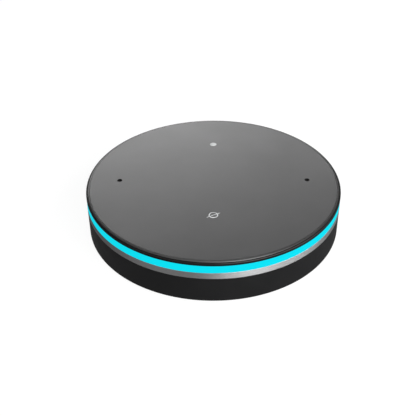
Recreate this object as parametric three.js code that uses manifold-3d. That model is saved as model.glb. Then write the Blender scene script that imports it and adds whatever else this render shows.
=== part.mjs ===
// A smart speaker: a flat round puck with a touch top, a light ring and a driver that fires down.
// Millimetres, +Z up. The origin is on the table under the centre. The front, where the mute icon
// is, faces -Y, and the power socket is at the back, +Y.

import * as THREE from "three";
import { mergeVertices } from "three/addons/utils/BufferGeometryUtils.js";
import Module from "manifold-3d";

const wasm = await Module();
wasm.setup();

// ---------------------------------------------------------------- driving dimensions

// The outside is a stack of bands that are flush at one radius.
const OUTER_R = 50;
const HEIGHT = 18.6;
const STANDOFF = 1; // the feet lift the enclosure this far
const BEZEL_H = 1.57;
const LIGHT_H = 3.07;
const TRIM_H = 2.66;
const BEZEL_Z = HEIGHT - BEZEL_H;
const LIGHT_Z = BEZEL_Z - LIGHT_H;
const TRIM_Z = LIGHT_Z - TRIM_H;

const SEAM = 0.05; // air left where two pieces meet
const WALL = 1.8; // thickness of the base shell's side wall

// Top plate, with its rim, its icons and its microphone holes
const PLATE_R = 49.3;
const PLATE_T = 1.2;
const PLATE_Z = HEIGHT - PLATE_T;
const PLATE_SEAT_R = 47.3; // outside this it is thinner, and rests on the bezel
const RIM_Z = 17.95; // underside of the thin rim
const FLAT_R = 48.6; // outside this a shoulder slopes down to the edge
const EDGE_DROP = 0.27; // how far the edge lies below the flat
const MIC_AT = { x: 37.15, y: 1.1 };
const MIC_HOLE_R = 0.95;
const ACTION_Y = 28.6;
const ACTION_R = 1.4;
const MUTE_Y = -22.3;
const MUTE_R = 1.9; // outside radius of the icon's ring
const MUTE_STROKE = 0.5;
const MUTE_SLASH = 5.6;
const MUTE_SLASH_DEG = 29;
const INLAY_T = 0.3;

// Boards and the frame between them
const TOUCH_BOARD_Z = 15.9;
const TOUCH_BOARD_T = 0.8;
const TOUCH_BOARD_TOP = TOUCH_BOARD_Z + TOUCH_BOARD_T;
const MID_FRAME_Z = 11.2;
const MID_FRAME_T = 1.2;
const MID_FRAME_TOP = MID_FRAME_Z + MID_FRAME_T;
const MAIN_BOARD_Z = 4.2;
const MAIN_BOARD_T = 1;
const MAIN_BOARD_TOP = MAIN_BOARD_Z + MAIN_BOARD_T;

// Light chamber behind the diffuser
const CHAMBER_R = 40; // its inner wall
const LED_COUNT = 8;
const LED_R = 43.1;

// Underside
const COVER_Z = STANDOFF + 0.1;
const COVER_TOP = 2.7;
const COVER_R = 45.9;
const FOOT_INNER_R = 38;
const FOOT_OUTER_R = 44;
const FOOT_ARC_DEG = 48;
const FOOT_SINK = 0.25; // how far a foot sits in its recess
const SCREW_R = 41;
const QUARTERS_DEG = [45, 135, 225, 315]; // feet and screws share these places

// Power socket in the back wall
const SOCKET_Z = 6.8;
const SOCKET_FACE_Y = 45;
const RECESS = { width: 12, height: 6.4, corner: 1.8, floorY: 45.2 };

// Driver, in its own frame: z = 0 is the front of its flange, and its back points up
const DRIVER_Z = COVER_TOP + 0.55;
const CONE_R = 15.4;
const COIL_R = 5.25;

// Steps round a full turn
const OUTER_STEPS = 48;
const DRIVER_STEPS = 24;
const SMALL_STEPS = 12;

// ---------------------------------------------------------------- finishes

const FINISHES = {
  sandedGrey: { color: 0x5e5f61, roughness: 0.42, metalness: 0.55 },
  iconWhite: { color: 0xc9cbcc, roughness: 0.5, metalness: 0 },
  bezelBlack: { color: 0x2c2d2e, roughness: 0.4, metalness: 0.1 },
  diffuser: { color: 0x05e5f1, roughness: 0.35, metalness: 0 },
  aluminium: { color: 0x9c9d9e, roughness: 0.3, metalness: 1 },
  baseBlack: { color: 0x1c1c1d, roughness: 0.45, metalness: 0 },
  rubber: { color: 0x161616, roughness: 0.9, metalness: 0 },
  framePlastic: { color: 0x2a2b2d, roughness: 0.6, metalness: 0 },
  whitePlastic: { color: 0xeceae4, roughness: 0.55, metalness: 0 },
  boardGreen: { color: 0x1f5a3a, roughness: 0.45, metalness: 0 },
  boardWhite: { color: 0xdedfd9, roughness: 0.45, metalness: 0 },
  chipBlack: { color: 0x202124, roughness: 0.5, metalness: 0 },
  shieldSteel: { color: 0xb4b6b8, roughness: 0.35, metalness: 1 },
  copper: { color: 0xc9793f, roughness: 0.35, metalness: 1 },
  ledBody: { color: 0xf1efe2, roughness: 0.4, metalness: 0 },
  foam: { color: 0x232324, roughness: 0.95, metalness: 0 },
  thermalPad: { color: 0x7f93b8, roughness: 0.8, metalness: 0 },
  flexAmber: { color: 0xb0702a, roughness: 0.4, metalness: 0 },
  ferrite: { color: 0x3a3b3d, roughness: 0.6, metalness: 0.2 },
  zincSteel: { color: 0x9fa3a6, roughness: 0.35, metalness: 1 },
  conePaper: { color: 0x26262a, roughness: 0.85, metalness: 0 },
  spiderCloth: { color: 0xb88a3c, roughness: 0.9, metalness: 0 },
};

// ---------------------------------------------------------------- solids

function toSolid(geometry) {
  const bare = geometry.clone();
  bare.deleteAttribute("normal");
  bare.deleteAttribute("uv");
  const merged = mergeVertices(bare);
  const corners = merged.index.array;
  const kept = [];
  for (let i = 0; i < corners.length; i += 3) {
    const [a, b, c] = corners.slice(i, i + 3);
    if (a !== b && b !== c && c !== a) kept.push(a, b, c);
  }
  const vertProperties = Float32Array.from(merged.attributes.position.array);
  const triVerts = Uint32Array.from(kept);
  return new wasm.Manifold(new wasm.Mesh({ numProp: 3, vertProperties, triVerts }));
}

function toGeometry(solid) {
  const { vertProperties, triVerts } = solid.getMesh();
  const geometry = new THREE.BufferGeometry();
  geometry.setAttribute("position", new THREE.BufferAttribute(vertProperties, 3));
  geometry.setIndex(new THREE.BufferAttribute(triVerts, 1));
  geometry.computeVertexNormals();
  return geometry;
}

function join(...parts) {
  return toGeometry(parts.map(toSolid).reduce((whole, part) => whole.add(part)));
}

function cut(body, ...tools) {
  const start = toSolid(body);
  return toGeometry(tools.map(toSolid).reduce((left, tool) => left.subtract(tool), start));
}

// ---------------------------------------------------------------- outlines and basic shapes

const radians = THREE.MathUtils.degToRad;

function polar(r, degrees, cx = 0, cy = 0) {
  const angle = radians(degrees);
  return new THREE.Vector2(cx + r * Math.cos(angle), cy + r * Math.sin(angle));
}

function arc(r, from, to, steps, cx = 0, cy = 0) {
  const points = [];
  for (let i = 0; i <= steps; i += 1) points.push(polar(r, from + ((to - from) * i) / steps, cx, cy));
  return points;
}

function circle(r, steps = SMALL_STEPS, cx = 0, cy = 0) {
  return arc(r, 0, 360, steps, cx, cy).slice(0, -1);
}

function rectangle(width, height, corner = 0, cx = 0, cy = 0) {
  const x = width / 2 - corner;
  const y = height / 2 - corner;
  const quarters = [[x, y, 0], [-x, y, 90], [-x, -y, 180], [x, -y, 270]];
  const steps = corner > 0 ? 3 : 0;
  return quarters.flatMap(([px, py, from]) =>
    steps ? arc(corner, from, from + 90, steps, cx + px, cy + py) : [new THREE.Vector2(cx + px, cy + py)]);
}

function sector(innerR, outerR, from, to, steps) {
  return [...arc(outerR, from, to, steps), ...arc(innerR, to, from, steps)];
}

function bar(length, width, degrees, cx = 0, cy = 0) {
  const centre = new THREE.Vector2(cx, cy);
  const place = (p) => p.rotateAround(new THREE.Vector2(), radians(degrees)).add(centre);
  return rectangle(length, width).map(place);
}

// A plate with this outline and these holes, from z = low to z = high.
function slab(outline, low, high, holes = []) {
  const shape = new THREE.Shape(outline);
  shape.holes = holes.map((hole) => new THREE.Path(hole));
  const geometry = new THREE.ExtrudeGeometry(shape, { depth: high - low, bevelEnabled: false });
  return geometry.translate(0, 0, low);
}

// A round solid from [radius, z] pairs. A profile that leaves the axis alone is closed on itself.
function turned(profile, steps) {
  const points = profile.map(([r, z]) => new THREE.Vector2(r, z));
  const onAxis = profile[0][0] === 0 && profile.at(-1)[0] === 0;
  if (!onAxis) points.push(points[0].clone());
  if (THREE.ShapeUtils.area(points) < 0) points.reverse();
  return new THREE.LatheGeometry(points, steps).rotateX(Math.PI / 2);
}

function ring(innerR, outerR, low, high, steps) {
  return turned([[innerR, low], [outerR, low], [outerR, high], [innerR, high]], steps);
}

// A rounded corner of a profile, as [radius, z] pairs.
function corner(cr, cz, r, from, to, steps = 3) {
  return arc(r, from, to, steps, cr, cz).map((p) => [p.x, p.y]);
}

function block(width, depth, height, edge = 0) {
  return slab(rectangle(width, depth, edge), 0, height);
}

function addPiece(group, name, finish, geometry, place = {}) {
  const material = new THREE.MeshStandardMaterial({ ...FINISHES[finish], flatShading: true });
  const mesh = new THREE.Mesh(toGeometry(toSolid(geometry)), material);
  mesh.name = name;
  mesh.position.set(...(place.at ?? [0, 0, 0]));
  mesh.rotation.z = radians(place.turn ?? 0);
  group.add(mesh);
}

// ---------------------------------------------------------------- enclosure

function muteIcon(low, high, margin) {
  const outer = circle(MUTE_R + margin, 24, 0, MUTE_Y);
  const inner = circle(MUTE_R - MUTE_STROKE - margin, 24, 0, MUTE_Y);
  const slash = bar(MUTE_SLASH + 2 * margin, MUTE_STROKE + 2 * margin, MUTE_SLASH_DEG, 0, MUTE_Y);
  return join(slab(outer, low, high, [inner]), slab(slash, low, high));
}

function actionIcon(low, high, margin) {
  return slab(circle(ACTION_R + margin, 20, 0, ACTION_Y), low, high);
}

function topPlate() {
  const floor = HEIGHT - INLAY_T - SEAM;
  const above = HEIGHT + 1;
  const mics = [-MIC_AT.x, MIC_AT.x].map((x) =>
    slab(circle(MIC_HOLE_R, SMALL_STEPS, x, MIC_AT.y), PLATE_Z - 1, above));
  const plate = turned([
    [0, PLATE_Z],
    [PLATE_SEAT_R, PLATE_Z],
    [PLATE_SEAT_R, RIM_Z],
    [PLATE_R, RIM_Z],
    [PLATE_R, HEIGHT - EDGE_DROP],
    [FLAT_R, HEIGHT],
    [0, HEIGHT],
  ], OUTER_STEPS);
  return cut(plate, muteIcon(floor, above, SEAM), actionIcon(floor, above, SEAM), ...mics);
}

// The black ring round and under the top plate's rim, with the shelves that the plate is glued to.
function topBezel() {
  const low = BEZEL_Z + SEAM;
  const top = HEIGHT - EDGE_DROP;
  const lipR = PLATE_R + 0.08;
  const seatR = PLATE_SEAT_R + 0.1;
  return turned([
    [45.8, low],
    [OUTER_R, low],
    [OUTER_R, top - 0.45],
    [OUTER_R - 0.13, top - 0.13],
    [OUTER_R - 0.45, top],
    [lipR, top],
    [lipR, RIM_Z - SEAM],
    [seatR, RIM_Z - SEAM],
    [seatR, PLATE_Z - SEAM],
    [45.8, PLATE_Z - SEAM],
  ], OUTER_STEPS);
}

// The diffuser, with a skirt that goes down behind the trim.
function lightRing() {
  const skirtR = 47.7;
  return turned([
    [46.3, 13.1],
    [skirtR, 13.1],
    [skirtR, LIGHT_Z + SEAM],
    [OUTER_R, LIGHT_Z + SEAM],
    [OUTER_R, BEZEL_Z],
    [46.3, BEZEL_Z],
  ], OUTER_STEPS);
}

function trimRing() {
  const top = LIGHT_Z;
  const bottom = TRIM_Z + SEAM;
  const edge = 0.15;
  return turned([
    [46.3, bottom],
    [OUTER_R - edge, bottom],
    [OUTER_R, bottom + edge],
    [OUTER_R, top - edge],
    [OUTER_R - edge, top],
    [48, top],
    [48, 12.3],
    [46.3, 12.3],
  ], OUTER_STEPS);
}

// The side wall, with a lip for the bottom cover, a shelf for the mid frame and a recess for the plug.
function baseShell() {
  const inside = OUTER_R - WALL;
  const edge = 0.3;
  const shelfTop = MID_FRAME_Z - 0.1;
  const wall = turned([
    [COVER_R + 0.1, STANDOFF],
    ...corner(OUTER_R - edge, STANDOFF + edge, edge, -90, 0),
    [OUTER_R, TRIM_Z],
    [inside, TRIM_Z],
    [inside, shelfTop],
    [45.2, shelfTop],
    [45.2, 10.2],
    [inside, 10.2],
    [inside, 2.9],
    [44.7, 2.9],
    [44.7, 2.05],
    [COVER_R + 0.1, 2.05],
  ], OUTER_STEPS);
  const lying = (outline, from, to) => slab(outline, -to, -from).rotateX(Math.PI / 2);
  const shroud = lying(rectangle(14, 7.75, 0.6, 0, 6.825), 44.2, 49);
  const recess = lying(
    rectangle(RECESS.width, RECESS.height, RECESS.corner, 0, SOCKET_Z), RECESS.floorY, 52);
  const mouth = lying(rectangle(9.5, 3.7, 1.6, 0, SOCKET_Z), 43, 46);
  return cut(join(wall, shroud), recess, mouth);
}

function footOutline(margin) {
  const half = FOOT_ARC_DEG / 2;
  return sector(FOOT_INNER_R - margin, FOOT_OUTER_R + margin, -half, half, 6);
}

function foot() {
  return slab(footOutline(0), 0, COVER_Z + FOOT_SINK);
}

// The sound slots: two rings of radial slots under the driver.
function soundSlots() {
  const slots = [];
  for (const { count, from, to } of [{ count: 12, from: 4.5, to: 9 }, { count: 24, from: 10.5, to: 17 }]) {
    for (let i = 0; i < count; i += 1) {
      const degrees = (360 * (i + 0.5)) / count;
      const middle = polar((from + to) / 2, degrees);
      slots.push(bar(to - from, 1.3, degrees, middle.x, middle.y));
    }
  }
  return slots;
}

function bottomCover() {
  const plate = slab(circle(COVER_R, OUTER_STEPS), COVER_Z, 1.95);
  const raised = slab(circle(44.6, OUTER_STEPS), COVER_Z + 0.1, COVER_TOP);
  const bosses = [];
  const holes = [];
  for (const degrees of QUARTERS_DEG) {
    const { x, y } = polar(SCREW_R, degrees);
    bosses.push(slab(circle(3.6, SMALL_STEPS, x, y), 2, 3.6));
    holes.push(slab(circle(2.3, SMALL_STEPS, x, y), 0, 2.6));
    holes.push(slab(circle(1.15, SMALL_STEPS, x, y), 0, 5));
    const recess = slab(footOutline(0.1), 0, COVER_Z + FOOT_SINK + SEAM);
    holes.push(recess.rotateZ(radians(degrees)));
  }
  const slots = soundSlots().map((outline) => slab(outline, 0, 5));
  return cut(join(plate, raised, ...bosses), ...holes, ...slots);
}

function addEnclosure(group) {
  const inlayZ = HEIGHT - INLAY_T;
  addPiece(group, "top_plate", "sandedGrey", topPlate());
  addPiece(group, "action_icon", "iconWhite", actionIcon(inlayZ, HEIGHT, 0));
  addPiece(group, "mute_icon", "iconWhite", muteIcon(inlayZ, HEIGHT, 0));
  addPiece(group, "top_bezel", "bezelBlack", topBezel());
  addPiece(group, "light_ring", "diffuser", lightRing());
  addPiece(group, "trim_ring", "aluminium", trimRing());
  addPiece(group, "base_shell", "baseBlack", baseShell());
  addPiece(group, "bottom_cover", "baseBlack", bottomCover());
  QUARTERS_DEG.forEach((turn, i) => addPiece(group, `foot_${i + 1}`, "rubber", foot(), { turn }));
}

// ---------------------------------------------------------------- touch board

function addTouchModule(group) {
  const gap = PLATE_Z - TOUCH_BOARD_TOP;
  const ports = [-MIC_AT.x, MIC_AT.x].map((x) => circle(0.5, SMALL_STEPS, x, MIC_AT.y));
  const board = slab(circle(45.4, OUTER_STEPS), TOUCH_BOARD_Z, TOUCH_BOARD_TOP, ports);
  addPiece(group, "touch_board", "boardGreen", board);

  for (const [side, x] of [["left", -MIC_AT.x], ["right", MIC_AT.x]]) {
    const seal = ring(0.9, 2, 0, gap - 2 * SEAM, SMALL_STEPS);
    const sealAt = [x, MIC_AT.y, TOUCH_BOARD_TOP + SEAM];
    addPiece(group, `mic_${side}`, "shieldSteel", block(2.65, 3.5, 0.95, 0.3),
      { at: [x, MIC_AT.y, TOUCH_BOARD_Z - 1] });
    addPiece(group, `mic_gasket_${side}`, "foam", seal, { at: sealAt });
  }

  for (const [icon, y] of [["action", ACTION_Y], ["mute", MUTE_Y]]) {
    const z = TOUCH_BOARD_TOP + SEAM;
    addPiece(group, `touch_pad_${icon}`, "copper", ring(4.2, 7, 0, 0.1, 24), { at: [0, y, z] });
    addPiece(group, `icon_led_${icon}`, "ledBody", block(1.6, 0.8, 0.5), { at: [0, y, z] });
    addPiece(group, `icon_light_well_${icon}`, "framePlastic", ring(3.2, 3.9, 0, gap - 2 * SEAM, 24),
      { at: [0, y, z] });
  }
}

// ---------------------------------------------------------------- light ring electronics

function addLightModule(group) {
  const floor = MID_FRAME_TOP + 0.1;
  const floorTop = floor + 0.5;
  const reflector = turned([
    [CHAMBER_R, floor],
    [47.6, floor],
    [47.6, floorTop],
    [CHAMBER_R + 0.6, floorTop],
    [CHAMBER_R + 0.6, TOUCH_BOARD_Z - 0.2],
    [CHAMBER_R, TOUCH_BOARD_Z - 0.2],
  ], OUTER_STEPS);
  addPiece(group, "light_reflector", "whitePlastic", reflector);

  const boardZ = floorTop + SEAM;
  const boardTop = boardZ + 0.8;
  addPiece(group, "led_board", "boardWhite", ring(CHAMBER_R + 0.8, 44.2, boardZ, boardTop, OUTER_STEPS));

  for (let i = 0; i < LED_COUNT; i += 1) {
    const turn = (360 * (i + 0.5)) / LED_COUNT;
    const { x, y } = polar(LED_R, turn);
    addPiece(group, `ring_led_${i + 1}`, "ledBody", block(1.6, 3, 1.1),
      { at: [x, y, boardTop + SEAM], turn });
  }
}

// ---------------------------------------------------------------- frame and main board

// The plate between the boards: it carries the light chamber, and its bosses take the case screws.
function midFrame() {
  const windows = [0, 90, 180, 270].map((at) => sector(19, 28, at - 32, at + 32, 6));
  const ribbonSlot = rectangle(2.6, 12, 0, -33.5, 0);
  const plate = slab(circle(46, OUTER_STEPS), MID_FRAME_Z, MID_FRAME_TOP,
    [circle(14.5, DRIVER_STEPS), ribbonSlot, ...windows]);
  const bosses = QUARTERS_DEG.map((degrees) => {
    const { x, y } = polar(SCREW_R, degrees);
    return slab(circle(2.8, SMALL_STEPS, x, y), 3.7, MID_FRAME_Z + 0.5, [circle(1.05, SMALL_STEPS, x, y)]);
  });
  return join(plate, ...bosses);
}

function mainBoard() {
  const board = ring(24, 43.9, MAIN_BOARD_Z, MAIN_BOARD_TOP, OUTER_STEPS);
  const notches = QUARTERS_DEG.map((degrees) => {
    const { x, y } = polar(SCREW_R, degrees);
    return slab(circle(3.4, SMALL_STEPS, x, y), 0, 10);
  });
  return cut(board, ...notches);
}

// A power socket with its mouth at y = 0, facing +Y, and its underside at z = 0.
function powerSocket() {
  const width = 9;
  const height = 3.2;
  const depth = 7.3;
  const wall = 0.35;
  const middle = height / 2;
  const lying = (outline, from, to) => slab(outline, from, to).rotateX(Math.PI / 2);
  const shell = lying(rectangle(width, height, 1.3, 0, middle), 0, depth);
  const cavity = rectangle(width - 2 * wall, height - 2 * wall, 1, 0, middle);
  const tongue = lying(rectangle(6.7, 0.7, 0, 0, middle), 1, depth - 0.5);
  return join(cut(shell, lying(cavity, -1, depth - 1)), tongue);
}

// A flat cable that leaves its connector, turns up through the frame and turns under the touch board.
function ribbonCable() {
  const thickness = 0.3;
  const bend = 1.2;
  const low = MAIN_BOARD_TOP + 0.4;
  const high = TOUCH_BOARD_Z - 0.1 - thickness;
  const uprightX = -33.5;
  const inner = bend - thickness;
  const bendX = uprightX + bend;
  const outside = [
    new THREE.Vector2(-30.1, low),
    ...arc(bend, 270, 180, 3, bendX, low + bend),
    ...arc(bend, 180, 90, 3, bendX, high + thickness - bend),
    new THREE.Vector2(-26, high + thickness),
  ];
  const inside = [
    new THREE.Vector2(-26, high),
    ...arc(inner, 90, 180, 3, bendX, high + thickness - bend),
    ...arc(inner, 180, 270, 3, bendX, low + bend),
    new THREE.Vector2(-30.1, low + thickness),
  ];
  return slab([...outside, ...inside], -5, 5).rotateX(Math.PI / 2);
}

function addMainModule(group) {
  const onBoard = MAIN_BOARD_TOP + SEAM;
  addPiece(group, "mid_frame", "framePlastic", midFrame());
  addPiece(group, "main_board", "boardGreen", mainBoard());

  const cpu = polar(32.5, -68);
  const padZ = onBoard + 1.4 + SEAM;
  const spreaderZ = padZ + 0.8 + SEAM;
  const memory = polar(32.5, -108);
  const amplifier = polar(33, 138);
  addPiece(group, "processor", "chipBlack", block(12, 12, 1.4, 0.4), { at: [cpu.x, cpu.y, onBoard] });
  addPiece(group, "thermal_pad", "thermalPad", block(11, 11, 0.8), { at: [cpu.x, cpu.y, padZ] });
  addPiece(group, "memory_chip", "chipBlack", block(11, 8, 1), { at: [memory.x, memory.y, onBoard], turn: -18 });
  addPiece(group, "heat_spreader", "aluminium", slab(sector(25.5, 37.4, -128, -48, 10), 0, 0.8),
    { at: [0, 0, spreaderZ] });
  addPiece(group, "wireless_module", "shieldSteel", block(13, 15, 1.9, 0.6), { at: [33.5, 0, onBoard] });
  addPiece(group, "amplifier_chip", "chipBlack", block(6, 6, 0.9),
    { at: [amplifier.x, amplifier.y, onBoard], turn: 48 });
  addPiece(group, "usb_socket", "shieldSteel", powerSocket(),
    { at: [0, SOCKET_FACE_Y, MAIN_BOARD_TOP + SEAM] });
  addPiece(group, "ribbon_connector", "whitePlastic", block(4, 12, 1.1), { at: [-28, 0, onBoard] });
  addPiece(group, "ribbon_cable", "flexAmber", ribbonCable());

  for (const [side, from] of [["right", 22], ["left", 118]]) {
    const strip = slab(sector(30.5, 36, from, from + 40, 6), 0, 0.2);
    addPiece(group, `antenna_${side}`, "flexAmber", strip, { at: [0, 0, MID_FRAME_TOP + SEAM] });
  }
}

// ---------------------------------------------------------------- driver

function basket() {
  const back = 5.7;
  const frame = turned([
    [18.2, 0],
    [21.2, 0],
    [21.2, 0.8],
    [20.3, 0.8],
    [20.3, 3.2],
    [14.3, back],
    [9, back],
    [9, 5],
    [13.7, 5],
    [19.6, 2.9],
    [19.6, 0.8],
    [18.2, 0.8],
  ], DRIVER_STEPS);
  const windows = [0, 60, 120, 180, 240, 300].map((at) => slab(sector(15, 18.9, at - 18, at + 18, 4), 2, 8));
  return cut(frame, ...windows);
}

// The paper cone: its neck is glued to the coil former, and its mouth faces down.
function cone() {
  const neckZ = 3.4;
  const mouthZ = 0.8;
  const t = 0.4;
  return turned([[5.55, neckZ], [CONE_R, mouthZ], [CONE_R, mouthZ + t], [5.55, neckZ + t]], DRIVER_STEPS);
}

function dustCap() {
  const rimR = 5.9;
  const rise = 1.15;
  const rimZ = 2.9;
  const t = 0.3;
  const dome = (lift) => [0, 0.4, 0.75, 1].map((s) => [rimR * s, rimZ + lift - rise * (1 - s * s)]);
  return turned([...dome(0), ...dome(t).reverse()], DRIVER_STEPS);
}

// The rubber half roll between the cone and the basket, bulging towards the back.
function surround() {
  const low = 0.9;
  const t = 0.25;
  const middle = 16.9;
  const rollR = 1.25;
  return turned([
    [15.5, low],
    ...corner(middle, low, rollR, 180, 0, 5),
    [18.9, low],
    [18.9, low + t],
    ...corner(middle, low + t, rollR, 0, 180, 5),
    [15.5, low + t],
  ], DRIVER_STEPS);
}

// The corrugated cloth that centres the coil.
function spider() {
  const from = COIL_R + 0.3;
  const to = 13.5;
  const level = 4.35;
  const waves = 2;
  const steps = 4 * waves;
  const swing = 0.3;
  const t = 0.25;
  const face = (lift) => Array.from({ length: steps + 1 }, (_, i) => {
    const s = i / steps;
    return [from + (to - from) * s, level + lift + swing * Math.sin(2 * Math.PI * waves * s)];
  });
  return turned([...face(0), ...face(t).reverse()], DRIVER_STEPS);
}

function addDriver(group) {
  const yoke = turned([[0, 6], [4.7, 6], [4.7, 9.85], [12.6, 9.85], [12.6, 11.05], [0, 11.05]], DRIVER_STEPS);
  addPiece(group, "speaker_gasket", "foam", ring(18.6, 21.2, -0.5, -SEAM, DRIVER_STEPS));
  addPiece(group, "speaker_basket", "zincSteel", basket());
  addPiece(group, "pole_plate", "zincSteel", ring(5.8, 12.4, 5.75, 6.75, DRIVER_STEPS));
  addPiece(group, "speaker_magnet", "ferrite", ring(7.2, 13, 6.8, 9.8, DRIVER_STEPS));
  addPiece(group, "speaker_yoke", "zincSteel", yoke);
  addPiece(group, "voice_coil", "copper", ring(COIL_R - 0.2, COIL_R + 0.2, 3.4, 7.9, DRIVER_STEPS));
  addPiece(group, "speaker_cone", "conePaper", cone());
  addPiece(group, "dust_cap", "conePaper", dustCap());
  addPiece(group, "surround", "rubber", surround());
  addPiece(group, "spider", "spiderCloth", spider());
}

// ---------------------------------------------------------------- fasteners

// A pan-head screw with a cross slot, head down.
function caseScrew() {
  const body = turned([[0, 1.6], [1.6, 1.6], [2, 2], [2, 2.55], [0.95, 2.55], [0.95, 9.9], [0, 10.2]], SMALL_STEPS);
  const slots = [0, 90].map((degrees) => slab(bar(2.4, 0.5, degrees), 1, 2.1));
  return cut(body, ...slots);
}

function addScrews(group) {
  QUARTERS_DEG.forEach((degrees, i) => {
    const { x, y } = polar(SCREW_R, degrees);
    addPiece(group, `case_screw_${i + 1}`, "zincSteel", caseScrew(), { at: [x, y, 0] });
  });
}

// ---------------------------------------------------------------- assembly

const speaker = new THREE.Group();
const driver = new THREE.Group();
driver.position.z = DRIVER_Z;
speaker.add(driver);

addEnclosure(speaker);
addTouchModule(speaker);
addLightModule(speaker);
addMainModule(speaker);
addDriver(driver);
addScrews(speaker);

export default speaker;
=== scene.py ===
"""The finished look of the smart speaker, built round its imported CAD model. Shapes are worked out in
millimetres and become metres when a piece is placed."""

from math import atan2, copysign, cos, degrees, hypot, pi, radians, sin, sqrt, tan, tau

import bmesh
import bpy
from mathutils import Matrix, Vector


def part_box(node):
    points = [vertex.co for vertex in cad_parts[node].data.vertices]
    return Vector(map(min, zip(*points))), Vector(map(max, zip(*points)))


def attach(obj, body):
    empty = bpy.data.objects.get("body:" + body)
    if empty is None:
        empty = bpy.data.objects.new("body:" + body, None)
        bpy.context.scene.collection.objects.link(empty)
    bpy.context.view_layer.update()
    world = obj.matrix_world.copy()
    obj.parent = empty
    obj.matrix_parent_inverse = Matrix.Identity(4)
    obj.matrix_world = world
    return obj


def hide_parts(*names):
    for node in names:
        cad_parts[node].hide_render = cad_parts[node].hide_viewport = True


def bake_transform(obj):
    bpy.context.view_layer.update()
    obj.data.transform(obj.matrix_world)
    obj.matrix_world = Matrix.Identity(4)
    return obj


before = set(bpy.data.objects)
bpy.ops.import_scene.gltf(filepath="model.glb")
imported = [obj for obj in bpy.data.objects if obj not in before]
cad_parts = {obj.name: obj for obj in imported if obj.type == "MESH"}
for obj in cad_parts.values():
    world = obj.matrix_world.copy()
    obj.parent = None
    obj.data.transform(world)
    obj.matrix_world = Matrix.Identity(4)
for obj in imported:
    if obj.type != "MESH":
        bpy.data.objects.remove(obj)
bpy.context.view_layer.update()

MM = 0.001
FINE = 240  # steps round the outer rings
MEDIUM = 96  # steps round the driver


# ------------------------ sizes of the CAD nodes, in millimetres


def extent(node):
    """A node's radius in x, low z and high z."""
    low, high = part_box(node)
    return (high.x - low.x) / 2 / MM, low.z / MM, high.z / MM


def size_of(node):
    low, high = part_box(node)
    return (high - low) / MM


def centre(node):
    low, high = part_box(node)
    return (low + high) / 2 / MM


def underside(node):
    """The middle of the underside of a node's box."""
    at = centre(node)
    return Vector((at.x, at.y, extent(node)[1]))


OUTER_R, BEZEL_LOW, BEZEL_TOP = extent("top_bezel")
PLATE_R, PLATE_LOW, TOP_Z = extent("top_plate")
COVER_R, COVER_LOW, _ = extent("bottom_cover")
BASE_LOW, BASE_TOP = extent("base_shell")[1:]
DRIVER_Z = extent("speaker_basket")[1]
SOCKET_AT = centre("usb_socket")
MICS = [centre(f"mic_gasket_{side}") for side in ("left", "right")]
SCREWS = [centre(f"case_screw_{i}") for i in range(1, 5)]

PLATE_SEAT_R = 47.3  # outside this the plate is thinner, and rests on the bezel
RIM_LOW = 17.95  # the underside of that thinner rim
FLAT_R = 48.6  # the plate is flat as far as this
QUARTERS = [45, 135, 225, 315]


# ------------------------ outlines, as lists of (x, y)


def polar(r, angle):
    return r * cos(radians(angle)), r * sin(radians(angle))


def spun(x, y, turn, middle):
    """A point turned about the origin, then moved by the middle."""
    c, s = cos(radians(turn)), sin(radians(turn))
    return middle[0] + x * c - y * s, middle[1] + x * s + y * c


def arc(r, start, end, steps, middle=(0, 0)):
    """Points along an arc, from start to end degrees."""
    points = [polar(r, start + (end - start) * i / steps) for i in range(steps + 1)]
    return [(middle[0] + x, middle[1] + y) for x, y in points]


def circle(r, steps=MEDIUM, middle=(0, 0)):
    return arc(r, 0, 360, steps, middle)[:-1]


def rounded(corners, steps=4):
    """An outline from corners that are (x, y) if sharp and (x, y, radius) if round."""
    points = []
    for i, corner in enumerate(corners):
        here = Vector(corner[:2])
        radius = corner[2] if len(corner) > 2 else 0
        if not radius:
            points.append(tuple(here))
            continue
        back = (Vector(corners[i - 1][:2]) - here).normalized()
        on = (Vector(corners[(i + 1) % len(corners)][:2]) - here).normalized()
        half = back.angle(on) / 2
        middle = here + (back + on).normalized() * radius / sin(half)
        start = here + back * radius / tan(half) - middle
        end = here + on * radius / tan(half) - middle
        first = atan2(start.y, start.x)
        sweep = (atan2(end.y, end.x) - first + pi) % tau - pi
        points += arc(radius, degrees(first), degrees(first + sweep), steps, middle)
    return points


def rectangle(width, height, radius, middle=(0, 0), steps=6):
    corners = [(middle[0] + x * width / 2, middle[1] + y * height / 2, radius)
               for x, y in ((-1, -1), (1, -1), (1, 1), (-1, 1))]
    return rounded(corners, steps)


def stadium(length, width, turn, middle=(0, 0)):
    """A slot with round ends, turned about its own middle."""
    reach = (length - width) / 2
    ends = arc(width / 2, -90, 90, 6, (reach, 0)) + arc(width / 2, 90, 270, 6, (-reach, 0))
    return [spun(x, y, turn, middle) for x, y in ends]


def sector(inner, outer, start, end, steps, radius=0.0):
    """A piece of a ring, from start to end degrees, with rounded corners."""
    if not radius:
        return arc(outer, start, end, steps) + arc(inner, end, start, steps)
    points = []
    for edge, r, first, last, facing in (
        (outer, outer - radius, start, end, 0), (inner, inner + radius, end, start, 180),
    ):
        turn = copysign(degrees(radius / r), last - first)
        a, b = first + turn, last - turn
        points += arc(radius, a + facing - 90, a + facing, 4, polar(r, a))
        points += arc(edge, a, b, steps)[1:-1]
        points += arc(radius, b + facing, b + facing + 90, 4, polar(r, b))
    return points


def tube(inner, outer, low, high, inner_edge=0.0, outer_edge=0.0, steps=4):
    """The section of a plain ring, with rounded edges to its bore and its wall."""
    bore, wall = (inner, inner_edge), (outer, outer_edge)
    ends = ((bore, low), (wall, low), (wall, high), (bore, high))
    return rounded([(r, z, edge) for (r, edge), z in ends], steps)


# ------------------------ meshes, in millimetres


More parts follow.
